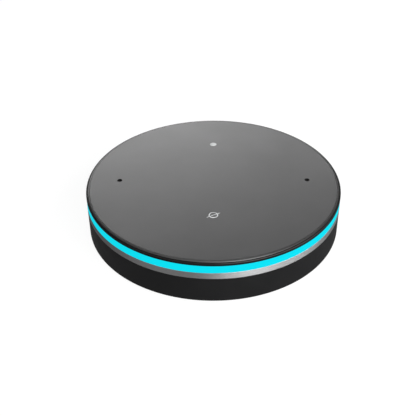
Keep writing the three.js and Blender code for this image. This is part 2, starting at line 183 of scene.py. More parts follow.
def linked(name, data):
    obj = bpy.data.objects.new(name, data)
    bpy.context.scene.collection.objects.link(obj)
    return obj


def from_bmesh(made):
    """An object from a bmesh, which is used up."""
    mesh = bpy.data.meshes.new("piece")
    made.to_mesh(mesh)
    made.free()
    return linked("piece", mesh)


def from_faces(verts, faces):
    mesh = bpy.data.meshes.new("faces")
    mesh.from_pydata(verts, [], faces)
    made = bmesh.new()
    made.from_mesh(mesh)
    bpy.data.meshes.remove(mesh)
    bmesh.ops.remove_doubles(made, verts=made.verts, dist=1e-4)
    bmesh.ops.recalc_face_normals(made, faces=made.faces)
    return from_bmesh(made)


def lathe(profile, steps=FINE):
    """A round solid about Z from a closed outline of (radius, height)."""
    verts, faces, rings = [], [], []
    for r, z in profile:
        first = len(verts)
        turns = 1 if r < 1e-6 else steps
        verts += [(r * cos(tau * i / steps), r * sin(tau * i / steps), z) for i in range(turns)]
        rings.append(range(first, first + turns))
    for a, b in zip(rings, rings[1:] + rings[:1]):
        if len(a) == 1 and len(b) == 1:
            continue
        for i in range(steps):
            j = (i + 1) % steps
            corners = [a[i % len(a)], a[j % len(a)], b[j % len(b)], b[i % len(b)]]
            faces.append(list(dict.fromkeys(corners)))
    return from_faces(verts, faces)


def worked_out(obj):
    """The mesh that an object comes to, with its curve or its modifiers applied."""
    bpy.context.view_layer.update()
    return bpy.data.meshes.new_from_object(obj.evaluated_get(bpy.context.evaluated_depsgraph_get()))


def plate(outlines, low, high, edge=0.05):
    """A flat solid between two heights. The first outline is its edge, the others are holes."""
    curve = bpy.data.curves.new("outline", "CURVE")
    curve.dimensions = "2D"
    curve.fill_mode = "BOTH"
    for outline in outlines:
        spline = curve.splines.new("POLY")
        spline.points.add(len(outline) - 1)
        for point, (x, y) in zip(spline.points, outline):
            point.co = (x, y, 0, 1)
        spline.use_cyclic_u = True
    curve.extrude = (high - low) / 2 - edge
    curve.bevel_depth = edge
    curve.bevel_resolution = 1
    curve.offset = -edge
    source = linked("outline", curve)
    mesh = worked_out(source)
    verts = [(v.co.x, v.co.y, v.co.z + (low + high) / 2) for v in mesh.vertices]
    faces = [tuple(p.vertices) for p in mesh.polygons]
    bpy.data.objects.remove(source)
    bpy.data.meshes.remove(mesh)
    return from_faces(verts, faces)


def loft(rings):
    """A closed solid through rings of 3-D points, all with the same number of points."""
    count = len(rings[0])
    verts = [point for ring in rings for point in ring]
    faces = [list(range(count)), list(range(len(verts) - count, len(verts)))]
    for k in range(len(rings) - 1):
        for i in range(count):
            j = (i + 1) % count
            faces.append([k * count + i, k * count + j, (k + 1) * count + j, (k + 1) * count + i])
    return from_faces(verts, faces)


def moved(obj, at=(0, 0, 0), turn=0.0):
    """obj turned about Z by some degrees, then shifted."""
    obj.data.transform(Matrix.Translation(at) @ Matrix.Rotation(radians(turn), 4, "Z"))
    return obj


def block(size, at=(0, 0, 0), turn=0.0, edge=0.1):
    """A box with rounded edges. at is the middle of its underside."""
    made = bmesh.new()
    bmesh.ops.create_cube(made, size=1)
    bmesh.ops.scale(made, vec=size, verts=made.verts)
    if edge:
        bmesh.ops.bevel(made, geom=made.edges[:], offset=edge, segments=2, profile=0.5, affect="EDGES")
    bmesh.ops.translate(made, vec=(0, 0, size[2] / 2), verts=made.verts)
    return moved(from_bmesh(made), at, turn)


def carve(obj, tool, operation="DIFFERENCE"):
    """obj with the tool cut away, or joined on."""
    step = obj.modifiers.new("carve", "BOOLEAN")
    step.object = tool
    step.operation = operation
    step.solver = "EXACT"
    mesh = worked_out(obj)
    obj.modifiers.clear()
    obj.data = mesh
    bpy.data.objects.remove(tool)
    return obj


def cut(obj, outlines, low, high, edge=0.01):
    """obj with a flat shape cut away between two heights."""
    return carve(obj, plate(outlines, low, high, edge))


def combine(*groups):
    """One object from groups of objects. Each group has its own material index."""
    made = bmesh.new()
    for index, obj in [(index, obj) for index, group in enumerate(groups) for obj in group]:
        first = len(made.faces)
        made.from_mesh(obj.data)
        made.faces.ensure_lookup_table()
        for face in made.faces[first:]:
            face.material_index = index
        bpy.data.objects.remove(obj)
    return from_bmesh(made)


def scatter(part, places):
    """The part at each (x, y, z, turn), as one object. A fifth value turns it upside down."""
    made = bmesh.new()
    for x, y, z, turn, *flipped in places:
        first = len(made.verts)
        made.from_mesh(part.data)
        made.verts.ensure_lookup_table()
        at = Matrix.Translation((x, y, z)) @ Matrix.Rotation(radians(turn), 4, "Z")
        if flipped:
            at @= Matrix.Rotation(pi, 4, "X")
        bmesh.ops.transform(made, matrix=at, verts=made.verts[first:])
    bpy.data.objects.remove(part)
    return from_bmesh(made)


def place(obj, materials, node=None, body="enclosure", sharp=32):
    """Gives a piece its materials, metres, body and the CAD node that it stands for."""
    obj.data.transform(Matrix.Scale(MM, 4))
    chosen = materials if isinstance(materials, list) else [materials]
    indices = [polygon.material_index for polygon in obj.data.polygons]
    obj.data.materials.clear()
    for material in chosen:
        obj.data.materials.append(material)
    obj.data.polygons.foreach_set("material_index", [min(i, len(chosen) - 1) for i in indices])
    obj.data.shade_smooth()
    obj.data.set_sharp_from_angle(angle=radians(sharp))
    obj.modifiers.new("flat faces stay flat", "WEIGHTED_NORMAL").keep_sharp = True
    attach(obj, body)
    if node:
        obj.name = f"fine_{node}"
        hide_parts(node)
    return obj


def extra(name, obj, materials, body="enclosure", sharp=32):
    """Places a piece that stands for no CAD node."""
    obj.name = name
    place(obj, materials, None, body, sharp)


def round_piece(node, profile, materials, body="enclosure", steps=MEDIUM, sharp=32, at=(0, 0)):
    """Places a turned piece that stands for a CAD node, on the Z axis or round a point."""
    made = moved(lathe(profile, steps), (*at[:2], 0))
    place(made, materials, node, body, sharp)


# ------------------------ materials


class Graph:
    """A node tree, with short ways to add to it."""

    def __init__(self, tree):
        self.tree = tree

    def link(self, source, target):
        self.tree.links.new(source, target)
        return self

    def node(self, kind, **values):
        made = self.tree.nodes.new(kind)
        for name, value in values.items():
            setattr(made, name, value)
        return made

    def math(self, operation, a, b):
        made = self.node("ShaderNodeMath", operation=operation)
        for socket, value in zip(made.inputs, (a, b)):
            if isinstance(value, (int, float)):
                socket.default_value = value
            else:
                self.link(value, socket)
        return made.outputs[0]

    def spread(self, field, low, high, start=0.3, stop=0.7):
        """field's range from start to stop, stretched to run from low to high."""
        made = self.node("ShaderNodeMapRange")
        for name, value in (("From Min", start), ("From Max", stop), ("To Min", low), ("To Max", high)):
            made.inputs[name].default_value = value
        self.link(field, made.inputs["Value"])
        return made.outputs["Result"]

    def mix(self, factor, low, high):
        """A colour between two, each of them a colour or a socket."""
        made = self.node("ShaderNodeMix", data_type="RGBA")
        self.link(factor, made.inputs[0])
        for socket, value in ((made.inputs[6], low), (made.inputs[7], high)):
            if isinstance(value, tuple):
                socket.default_value = (*value, 1)
            else:
                self.link(value, socket)
        return made.outputs[2]


class Finish(Graph):
    """A Principled material with ways to link procedural detail into it."""

    def __init__(self, name, colour, roughness, metallic=0.0, **constants):
        self.material = bpy.data.materials.new(name)
        self.material.use_nodes = True
        super().__init__(self.material.node_tree)
        self.sockets = self.tree.nodes["Principled BSDF"].inputs
        self.sockets["Base Color"].default_value = (*colour, 1)
        self.sockets["Roughness"].default_value = roughness
        self.sockets["Metallic"].default_value = metallic
        for socket, value in constants.items():
            self.sockets[socket.replace("_", " ")].default_value = value
        self.colour, self.roughness = colour, roughness
        self.place = self.node("ShaderNodeTexCoord").outputs["Object"]

    def texture(self, kind, size_mm, vector=None, **values):
        """A texture node whose features measure about size_mm."""
        made = self.node(f"ShaderNodeTex{kind}")
        made.inputs["Scale"].default_value = 1 / (size_mm * MM)
        for name, value in values.items():
            made.inputs[name].default_value = value
        self.link(vector or self.place, made.inputs["Vector"])
        return made

    def noise(self, size_mm, detail=3.0, vector=None):
        return self.texture("Noise", size_mm, vector, Detail=detail).outputs["Fac"]

    def cells(self, size_mm, output="Distance"):
        return self.texture("Voronoi", size_mm).outputs[output]

    def tint(self, field, low, high):
        """Colour that runs from low to high times the finish's own colour."""
        ends = [tuple(min(1, c * factor) for c in self.colour) for factor in (low, high)]
        return self.link(self.mix(self.spread(field, 0, 1), *ends), self.sockets["Base Color"])

    def paint(self, field, colour, start, stop):
        """Adds a second colour to a tinted finish where the field is near stop."""
        base = self.sockets["Base Color"]
        below = base.links[0].from_socket
        return self.link(self.mix(self.spread(field, 0, 1, start, stop), below, colour), base)

    def gloss(self, field, change):
        """Roughness that varies by change either way."""
        low, high = self.roughness - change, self.roughness + change
        return self.link(self.spread(field, low, high), self.sockets["Roughness"])

    def relief(self, field, depth_mm):
        """Bump from a field, on top of any relief that is already there."""
        made = self.node("ShaderNodeBump")
        made.inputs["Distance"].default_value = depth_mm * MM
        made.inputs["Strength"].default_value = 1.0
        normal = self.sockets["Normal"]
        if normal.is_linked:
            self.link(normal.links[0].from_socket, made.inputs["Normal"])
        self.link(field, made.inputs["Height"])
        return self.link(made.outputs["Normal"], normal)

    def stretched(self, x=1.0, y=1.0, z=1.0):
        """Object coordinates with each axis multiplied."""
        made = self.node("ShaderNodeMapping")
        made.inputs["Scale"].default_value = (x, y, z)
        self.link(self.place, made.inputs["Vector"])
        return made.outputs["Vector"]

    def round_the_axis(self, along):
        """(radius, height, angle) coordinates, so that noise in them runs in rings about Z."""
        split = self.node("ShaderNodeSeparateXYZ")
        self.link(self.place, split.inputs[0])
        x, y, z = split.outputs
        square = self.math("ADD", self.math("MULTIPLY", x, x), self.math("MULTIPLY", y, y))
        radius = self.math("SQRT", square, 0)
        angle = self.math("MULTIPLY", self.math("ARCTAN2", y, x), along * MM)
        joined = self.node("ShaderNodeCombineXYZ")
        for source, socket in zip((radius, z, angle), joined.inputs):
            self.link(source, socket)
        return joined.outputs[0]


def grained(name, colour, roughness, tone, gloss, grain, metallic=0.0, **constants):
    """A finish with noise in its tone (mm, detail, low, high), its gloss (mm, change) and its relief
    (mm, detail, depth in mm)."""
    made = Finish(name, colour, roughness, metallic, **constants)
    made.tint(made.noise(*tone[:2]), *tone[2:])
    if gloss:
        made.gloss(made.noise(gloss[0]), gloss[1])
    return made.relief(made.noise(*grain[:2]), grain[2]).material


def moulded(name, colour, roughness, grain_mm, depth_mm, **constants):
    """Moulded plastic: a fine spark-eroded grain, with gloss and tone that drift a little."""
    tone, gloss, grain = (14, 3, 0.9, 1.12), (5, 0.04), (grain_mm, 5, depth_mm)
    return grained(name, colour, roughness, tone, gloss, grain, **constants)


def rubber(name, colour, roughness):
    """Soft rubber with a dusty bloom."""
    return grained(name, colour, roughness, (3, 5, 0.75, 1.5), None, (0.15, 5, 0.02))


def metal(name, colour, roughness, scratch_mm=0.15):
    """Plain sheet metal with drawn streaks and dull patches."""
    made = Finish(name, colour, roughness, 1.0)
    streaks = made.noise(scratch_mm, 3, made.stretched(y=0.08))
    made.tint(made.noise(4), 0.86, 1.08)
    made.gloss(made.noise(2.5), 0.08)
    return made.relief(streaks, 0.004).material


def sanded_paint():
    """The top's fine-grained metallic paint, with tiny flakes and very fine sanding marks."""
    made = Finish("sanded_grey", (0.208, 0.208, 0.209), 0.36, 0.82)
    made.tint(made.noise(22), 0.96, 1.04)
    made.gloss(made.noise(9), 0.015)
    made.relief(made.cells(0.16), 0.006)
    return made.relief(made.noise(0.09, 4), 0.006).material


def brushed_ring():
    """Aluminium brushed round the ring, so that its highlights stand up and down."""
    colour = (0.56, 0.565, 0.57)
    made = Finish("brushed_aluminium", colour, 0.44, 1.0, Anisotropic=0.75, Anisotropic_Rotation=0.25)
    tangent = made.node("ShaderNodeTangent", direction_type="RADIAL", axis="Z")
    made.link(tangent.outputs[0], made.sockets["Tangent"])
    rings = made.round_the_axis(6.0)
    made.tint(made.noise(0.12, 4, rings), 0.88, 1.1)
    made.gloss(made.noise(0.2, 3, rings), 0.05)
    return made.relief(made.noise(0.07, 4, rings), 0.003).material


def circuit_board(name, colour, track):
    """Solder mask over copper tracks, which show as slightly raised lines of a lighter tone."""
    made = Finish(name, colour, 0.42)
    made.tint(made.noise(9), 0.88, 1.12)
    brick = made.node("ShaderNodeTexBrick", offset=0.37, squash=1.7)
    sizes = {"Scale": 220.0, "Mortar Size": 0.04, "Brick Width": 4.5, "Row Height": 0.17}
    for socket, value in sizes.items():
        brick.inputs[socket].default_value = value
    made.link(made.stretched(z=0.01), brick.inputs["Vector"])
    tracks = brick.outputs["Fac"]
    made.paint(tracks, track, 0.3, 0.7).relief(tracks, 0.03)
    return made.relief(made.noise(0.3), 0.004).material


def foam():
    made = Finish("foam", (0.016, 0.016, 0.017), 0.95)
    pores = made.cells(0.22)
    # painted shade: the pores are coloured darker than the cell walls, as well as sunk into them
    return made.tint(pores, 0.4, 1.8).relief(pores, 0.12).material


def silicone_pad():
    """Filled silicone, with pale specks and a tacky skin."""
    made = Finish("thermal_pad", (0.21, 0.29, 0.48), 0.62)
    made.tint(made.noise(0.2, 5), 0.8, 1.25)
    made.paint(made.cells(0.5), (0.5, 0.56, 0.66), 0.1, 0.03)
    return made.relief(made.noise(0.3, 4), 0.03).material


def polyimide():
    """Amber film, a little clear, with the weave of its backing just showing."""
    made = Finish("flex_amber", (0.44, 0.15, 0.022), 0.28, Coat_Weight=0.3)
    made.tint(made.noise(2.5), 0.85, 1.15)
    return made.relief(made.noise(0.12, 3, made.stretched(y=0.2)), 0.006).material


def zinc_plate():
    """Zinc-plated pressed steel, with faint spangle."""
    made = Finish("zinc_steel", (0.36, 0.37, 0.385), 0.34, 1.0)
    grey = made.node("ShaderNodeRGBToBW")
    made.link(made.cells(1.2, "Color"), grey.inputs[0])
    made.tint(grey.outputs[0], 0.85, 1.12)
    made.gloss(grey.outputs[0], 0.07)
    return made.relief(made.noise(0.1, 4), 0.005).material


def pressed_paper():
    """Cone paper: felted fibres that run every way, with painted shade in the hollows between them."""
    made = Finish("cone_paper", (0.02, 0.02, 0.023), 0.88)
    ways = [made.stretched(y=0.25), made.stretched(x=0.25)]
    fibres = made.math("MAXIMUM", *[made.noise(0.3, 6, way) for way in ways])
    # painted shade: the paper's colour darkens where the fibre relief is low, in the hollows
    return made.tint(fibres, 0.55, 1.9).relief(fibres, 0.05).material


def woven_cloth():
    """Plain-weave cloth, stiffened with resin."""
    made = Finish("spider_cloth", (0.46, 0.27, 0.06), 0.8, Sheen_Weight=0.25)
    threads, pitch_mm = [], 0.45
    for axis in ("X", "Y"):
        wave = made.texture("Wave", pitch_mm / 0.314, Distortion=0.3)  # at scale 1 its bands are 0.314 apart
        wave.wave_type, wave.bands_direction = "BANDS", axis
        threads.append(wave.outputs["Fac"])
    weave = made.math("MULTIPLY", *threads)
    # painted shade: the cloth is coloured darker where the weave is low, between the threads
    return made.tint(weave, 0.45, 1.3).relief(weave, 0.08).material


SANDED = sanded_paint()
ICON = moulded("icon_white", (0.55, 0.56, 0.56), 0.6, 0.12, 0.004, Specular_IOR_Level=0.0)
BEZEL = moulded("bezel_black", (0.004, 0.004, 0.0043), 0.35, 0.16, 0.004, Specular_IOR_Level=0.25)
DIFFUSER = grained(  # milky plastic lit from behind in cyan
    "diffuser", (0.0003, 0.06, 0.07), 0.5, (3, 3, 0.92, 1.08), None, (0.2, 4, 0.006),
    Specular_IOR_Level=0.03, Emission_Color=(0.0006, 0.66, 0.79, 1), Emission_Strength=1.0,
)
TRIM = brushed_ring()
BASE = moulded("base_black", (0.0055, 0.0055, 0.0058), 0.42, 0.22, 0.01, Specular_IOR_Level=0.3)
RUBBER = rubber("foot_rubber", (0.012, 0.012, 0.012), 0.78)
# near black, far darker than the feet's rubber: partly the sleeves' own colour, partly painted shade down the
# microphone holes
SLEEVE_RUBBER_PAINTED_SHADE = rubber("sleeve_rubber_painted_shade", (0.0015, 0.0015, 0.0015), 0.95)
FRAME_PLASTIC = moulded("frame_plastic", (0.022, 0.023, 0.026), 0.58, 0.3, 0.02)
WHITE_PLASTIC = moulded("white_plastic", (0.8, 0.79, 0.75), 0.5, 0.3, 0.01)
BOARD = circuit_board("board_green", (0.008, 0.09, 0.035), (0.02, 0.17, 0.07))
BOARD_WHITE = circuit_board("board_white", (0.74, 0.74, 0.7), (0.62, 0.62, 0.57))
CHIP = grained("chip_black", (0.014, 0.0145, 0.016), 0.5, (0.12, 5, 0.6, 1.7), (2, 0.06), (0.08, 4, 0.006))
TIN = metal("tinned_steel", (0.6, 0.61, 0.62), 0.33)
COPPER = grained(
    "copper", (0.62, 0.25, 0.1), 0.3, (1.5, 3, 0.8, 1.12), (0.6, 0.08), (0.15, 4, 0.005), 1.0,
    Coat_Weight=0.25,
)
GOLD = metal("contact_gold", (0.86, 0.6, 0.22), 0.25, 0.08)
LED_BODY = moulded("led_body", (0.82, 0.8, 0.72), 0.4, 0.1, 0.005)
PHOSPHOR = grained("led_phosphor", (0.75, 0.56, 0.08), 0.2, (0.08, 4, 0.75, 1.15), None, (0.1, 3, 0.006))
CERAMIC = moulded("capacitor_ceramic", (0.36, 0.22, 0.11), 0.45, 0.08, 0.006)
FOAM = foam()
THERMAL = silicone_pad()
SPREADER = metal("spreader_aluminium", (0.52, 0.53, 0.54), 0.35, 0.2)
FLEX = polyimide()
FERRITE = grained("ferrite", (0.042, 0.043, 0.047), 0.62, (0.2, 6, 0.7, 1.5), None, (0.15, 6, 0.03), 0.2)
ZINC = zinc_plate()
CONE_PAPER = pressed_paper()
SURROUND_RUBBER = rubber("surround_rubber", (0.014, 0.014, 0.015), 0.6)
SPIDER_CLOTH = woven_cloth()


# ------------------------ outside


def mute_solid(low, high, margin=0.0, edge=0.02):
    """The mute icon's ring and slash, grown by a margin."""
    at = centre("mute_icon")
    ring_r, stroke, slash, length, lean = 1.78, 0.38, 0.34, 5.75, 29
    ring = [circle(ring_r + margin, 64, at), circle(ring_r - stroke - margin, 64, at)]
    bar = [stadium(length + 2 * margin, slash + 2 * margin, lean, at)]
    return carve(plate(ring, low, high, edge), plate(bar, low, high, edge), "UNION")


def action_outline(margin=0.0):
    return circle(extent("action_icon")[0] + margin, 64, centre("action_icon"))


def top_plate():
    profile = rounded([
        (0, PLATE_LOW), (PLATE_SEAT_R, PLATE_LOW, 0.1), (PLATE_SEAT_R, RIM_LOW), (FLAT_R, RIM_LOW),
        (FLAT_R, TOP_Z, 0.05), (FLAT_R - 1, TOP_Z), (0, TOP_Z),
    ], 6)
    made = lathe(profile)
    floor, above, fit = extent("mute_icon")[1] - 0.05, TOP_Z + 1, 0.03
    carve(made, mute_solid(floor, above, fit, 0.001))
    cut(made, [action_outline(fit)], floor, above, 0.001)
    for at in MICS:
        cut(made, [circle(1.04, 48, at)], PLATE_LOW - 1, above, 0.001)
    place(made, SANDED, "top_plate")


def plate_edge():
    """The plate's border, outside a fine groove: a shoulder that curves down to a rounded corner."""
    inner = FLAT_R + 0.12
    steps = [i / 8 for i in range(7, -1, -1)]
    shoulder = [(inner + (PLATE_R - inner) * s, TOP_Z - (TOP_Z - BEZEL_TOP) * s**2) for s in steps]
    shoulder[-1] += (0.05,)
    profile = rounded([(inner, RIM_LOW), (PLATE_R, RIM_LOW, 0.08), (PLATE_R, BEZEL_TOP, 0.08), *shoulder], 6)
    extra("plate_edge", lathe(profile), SANDED)


def mic_sleeves():
    """Black rubber sleeves in the microphone holes, each with a cloth screen at the bottom. Both get a
    near-black, darker than real rubber, that is partly the rubber's own colour and partly painted shade down
    the holes.
    """
    outer, inner, low, top = 1.03, 0.95, PLATE_LOW + 0.1, TOP_Z - 0.06
    for side, at in zip(("left", "right"), MICS):
        wall = rounded([(inner, low), (outer, low), (outer, top, 0.02), (inner, top, 0.02)])
        screen = tube(0, inner + 0.01, low + 0.02, low + 0.1)
        whole = combine([lathe(wall, 48), lathe(screen, 48)])
        extra(f"mic_sleeve_{side}", moved(whole, (at.x, at.y, 0)), SLEEVE_RUBBER_PAINTED_SHADE)


def icons():
    low, high = extent("mute_icon")[1:]
    place(mute_solid(low, high - 0.01), ICON, "mute_icon")
    place(plate([action_outline()], low, high - 0.01, 0.03), ICON, "action_icon")


def side_rings():
    """The black ring round and under the plate's rim, the lit ring and the metal ring."""
    bore, seat, lip = 45.8, PLATE_SEAT_R + 0.1, PLATE_R + 0.08
    floor, ledge = PLATE_LOW - 0.05, RIM_LOW - 0.05
    profile = rounded([
        (bore, BEZEL_LOW, 0.1), (OUTER_R, BEZEL_LOW, 0.08), (OUTER_R, BEZEL_TOP, 0.5), (lip, BEZEL_TOP, 0.05),
        (lip, ledge), (seat, ledge), (seat, floor), (bore, floor, 0.1),
    ], 8)
    round_piece("top_bezel", profile, BEZEL, steps=FINE)
    radius, low, high = extent("light_ring")
    inner, skirt, outer, step = 46.3, 47.7, radius - 0.03, low + 0.86
    profile = rounded([
        (inner, low, 0.15), (skirt, low, 0.15), (skirt, step), (outer, step, 0.1), (outer, high, 0.1),
        (inner, high, 0.15),
    ])
    round_piece("light_ring", profile, DIFFUSER, steps=FINE)
    radius, low, high = extent("trim_ring")
    step, shelf = 48, 12.3
    profile = rounded([
        (inner, low, 0.1), (radius, low, 0.12), (radius, high, 0.05), (step, high, 0.1), (step, shelf),
        (inner, shelf, 0.1),
    ])
    round_piece("trim_ring", profile, TRIM, steps=FINE)


def upright(outline, y):
    """An outline of (x, z) as 3-D points in the plane at that y."""
    return [(x, y, z) for x, z in outline]


def recess_tool():
    """What the plug recess removes: a rounded tunnel that flares into the curved wall."""
    wide, tall, corner, floor, lip, steps = 12, 6.4, 1.8, 45.2, 0.4, 6
    middle = (0, SOCKET_AT.z)
    rings = [upright(rectangle(wide, tall, corner, middle), floor)]
    for step in range(steps + 1):
        turn = radians(90 * step / steps)
        grow, depth = lip * (1 - cos(turn)), lip * (1 - sin(turn))
        ring = rectangle(wide + 2 * grow, tall + 2 * grow, corner + grow, middle)
        rings.append([(x, sqrt(OUTER_R**2 - x**2) - depth, z) for x, z in ring])
    rings.append([(x, y + 3, z) for x, y, z in rings[-1]])
    return loft(rings)


def base_shell():
    wall, shelf, seat = OUTER_R - 1.8, BASE_TOP - 0.19, COVER_R + 0.1
    profile = rounded([
        (seat, BASE_LOW, 0.15), (OUTER_R, BASE_LOW, 0.3), (OUTER_R, BASE_TOP, 0.12), (wall, BASE_TOP, 0.1),
        (wall, shelf), (45.2, shelf, 0.2), (45.2, 10.2, 0.2), (wall, 10.2, 0.3), (wall, 2.9, 0.3),
        (44.7, 2.9, 0.2), (44.7, 2.05), (seat, 2.05),
    ], 5)
    made = lathe(profile)
    shroud = rectangle(14, 7.75, 0.6, (0, SOCKET_AT.z + 0.025))
    carve(made, loft([upright(shroud, 44.2), upright(shroud, 49)]), "UNION")
    carve(made, recess_tool())
    mouth = rectangle(9.5, 3.7, 1.6, (0, SOCKET_AT.z))
    carve(made, loft([upright(mouth, 43), upright(mouth, 47)]))
    place(made, BASE, "base_shell")


def foot_outline(margin=0.0):
    return sector(38 - margin, 44 + margin, -24, 24, 24, 0.9)


def bottom_cover():
    """The cover: sound slots in two rings of spokes, a boss at each screw and a recess for each foot."""
    holes = []
    for count, start, end in ((12, 4.5, 9.0), (24, 10.5, 17.0)):
        for angle in [360 * (i + 0.5) / count for i in range(count)]:
            holes.append(stadium(end - start, 1.3, angle, polar((start + end) / 2, angle)))
    holes += [circle(2.3, 32, at) for at in SCREWS]
    made = plate([circle(COVER_R, FINE), *holes], COVER_LOW, 1.95, 0.08)
    carve(made, plate([circle(44.6, FINE), *holes], 1.6, 2.7, 0.08), "UNION")
    for at, turn in zip(SCREWS, QUARTERS):
        carve(made, plate([circle(3.6, 32, at), circle(1.15, 24, at)], 2.6, 3.6, 0.1), "UNION")
        recess = plate([foot_outline(0.1)], 0.5, COVER_LOW + 0.3, 0.02)
        carve(made, moved(recess, turn=turn))
    place(made, BASE, "bottom_cover")


def feet():
    for i, turn in enumerate(QUARTERS):
        node = f"foot_{i + 1}"
        low, high = extent(node)[1:]
        pad = plate([foot_outline()], low, high, 0.2)
        for r in (39.6, 41, 42.4):
            cut(pad, [sector(r - 0.2, r + 0.2, -20.5, 20.5, 24, 0.19)], low - 1, low + 0.3)
        place(moved(pad, turn=turn), RUBBER, node)


# ------------------------ small parts that repeat


def vias(name, r, z, spacing):
    """Plated holes round a board, some degrees apart."""
    hole = lathe(tube(0.12, 0.3, 0, 0.03), 12)
    extra(name, scatter(hole, ring_of(r, z, range(0, 360, spacing))), COPPER)


def two_ended(length, width, height):
    """A surface-mount part: its body, two metal ends and a ramp of solder at each."""
    cap = length * 0.2
    body = block((length - 2 * cap, width * 0.94, height * 0.94), edge=0.02)
    ends = []
    for side in (-1, 1):
        ends.append(block((cap, width, height), (side * (length - cap) / 2, 0, 0), edge=0.04))
        x, toe = side * length / 2, side * (length / 2 + 0.22)
        ramp = [(x, -width * 0.45, 0), (toe, -width * 0.5, 0), (x, -width * 0.4, height * 0.6)]
        ends.append(loft([ramp, [(x, -y, z) for x, y, z in ramp]]))
    return combine([body], ends)


def resistors(name, size, places):
    extra(name, scatter(two_ended(*size), places), [CHIP, TIN])


def capacitors(name, size, places):
    extra(name, scatter(two_ended(*size), places), [CERAMIC, TIN])


def ring_of(r, z, angles, turn=0, *flipped):
    """Places on a circle, each turned by its own angle and a little more."""
    return [(*polar(r, angle), z, angle + turn, *flipped) for angle in angles]


def leads(width, depth, count, size, reach):
    """The flat leads of a chip, count on each side, reaching out past its body."""
    made = []
    for quarter in range(4):
        along, out = (depth, width) if quarter % 2 else (width, depth)
        for i in range(count):
            offset = (i - (count - 1) / 2) * along * 0.82 / (count - 1)
            lead = block((size, reach * 2, 0.14), (offset, out / 2, 0), edge=0.02)
            made.append(moved(lead, turn=90 * quarter))
    return combine(made)


def chip(size, at=(0, 0, 0), turn=0, count=0):
    """A moulded chip with a dimple at its first pin, on leads if they are counted, or else on solder."""
    lift, pitch = 0.12, 1.05
    body = block((size.x, size.y, size.z - lift), (0, 0, lift), edge=0.09)
    cut(body, [circle(0.3, 24, (0.9 - size.x / 2, 0.9 - size.y / 2))], size.z - 0.07, size.z + 1)
    if count:
        below = leads(size.x, size.y, count, 0.22, lift)
    else:
        ball = lathe([(0, 0), *arc(0.2, -40, 40, 6, (0, lift / 2 + 0.02)), (0, lift + 0.04)], 10)
        columns, rows = [int(v // 1.1) for v in (size.x, size.y)]
        below = scatter(ball, grid((0, 0), 0, columns, rows, pitch, pitch, 0))
    return moved(combine([body], [below]), at, turn)


def grid(middle, turn, columns, rows, pitch_x, pitch_y, z, lean=0):
    """Places in rows and columns round a middle, turned as a whole."""
    spots = [((i - (columns - 1) / 2) * pitch_x, (j - (rows - 1) / 2) * pitch_y)
             for i in range(columns) for j in range(rows)]
    return [(*spun(x, y, turn, middle), z, turn + lean) for x, y in spots]


# ------------------------ touch board, microphones and lights


def touch_board():
    radius, low, high = extent("touch_board")
    ports = [circle(0.5, 24, centre(node)) for node in ("mic_left", "mic_right")]
    holes = [circle(0.8, 24, polar(radius - 2, angle)) for angle in range(15, 360, 60)]
    place(plate([circle(radius, FINE), *ports, *holes], low, high), BOARD, "touch_board")
    vias("touch_board_vias", radius - 3.4, high, 5)
    around = ring_of(11, low, range(0, 360, 30), 0, True)
    row = [(x, -9.0, low, 90, True) for x in range(-8, 9, 2)]
    capacitors("touch_board_capacitors", (1.0, 0.5, 0.5), around + row)
    control = chip(Vector((5, 5, 0.9)), count=7)
    extra("touch_controller", scatter(control, [(0, 0, low, 20, True)]), [CHIP, TIN])


def microphones():
    for side in ("left", "right"):
        node, gasket = f"mic_{side}", f"mic_gasket_{side}"
        size, at = size_of(node), underside(node)
        can = block((size.x - 0.2, size.y - 0.2, size.z - 0.3), at, edge=0.12)
        base = block((size.x, size.y, 0.28), at + Vector((0, 0, size.z - 0.28)), edge=0.03)
        place(combine([can], [base]), [TIN, BOARD], node)
        outer, low, high = extent(gasket)
        round_piece(gasket, tube(0.9, outer, low, high, 0.1, 0.15), FOAM, steps=40, at=centre(gasket))


def side_led(node, turn, length=1.6, width=0.8):
    """A light: a white body with a sunk yellow window and two metal ends."""
    height = size_of(node).z
    body = block((length, width, height), edge=0.05)
    window = (length * 0.56, width * 0.66)
    cut(body, [rectangle(*window, 0.12)], height - 0.12, height + 1)
    glow = block((window[0] - 0.04, window[1] - 0.04, 0.1), (0, 0, height - 0.13), edge=0.03)
    if length >= width:
        size, x, y = (length * 0.12, width + 0.02, height * 0.5), length * 0.44 + 0.01, 0
    else:
        size, x, y = (length + 0.02, width * 0.12, height * 0.5), 0, width * 0.44 + 0.01
    ends = [block(size, (side * x, side * y, 0), edge=0.02) for side in (-1, 1)]
    whole = combine([body], [glow], ends)
    place(moved(whole, underside(node), turn), [LED_BODY, PHOSPHOR, TIN], node)


def icon_lights():
    for icon in ("action", "mute"):
        pad, well = f"touch_pad_{icon}", f"icon_light_well_{icon}"
        at, (outer, low, high) = centre(pad), extent(pad)
        inner = outer - 2.8
        rays = [sector(inner + 0.5, outer - 0.5, a - 2, a + 2, 3) for a in range(0, 360, 20)]
        ring = plate([circle(outer, 64), circle(inner, 48), *rays], low, high, 0.01)
        place(moved(ring, (at.x, at.y, 0)), COPPER, pad)
        side_led(f"icon_led_{icon}", 0)
        outer, low, high = extent(well)
        inner = outer - 0.7
        profile = rounded([(inner, low), (outer, low, 0.08), (outer, high, 0.12), (inner + 0.2, high, 0.1)])
        round_piece(well, profile, FRAME_PLASTIC, steps=48, at=centre(well))


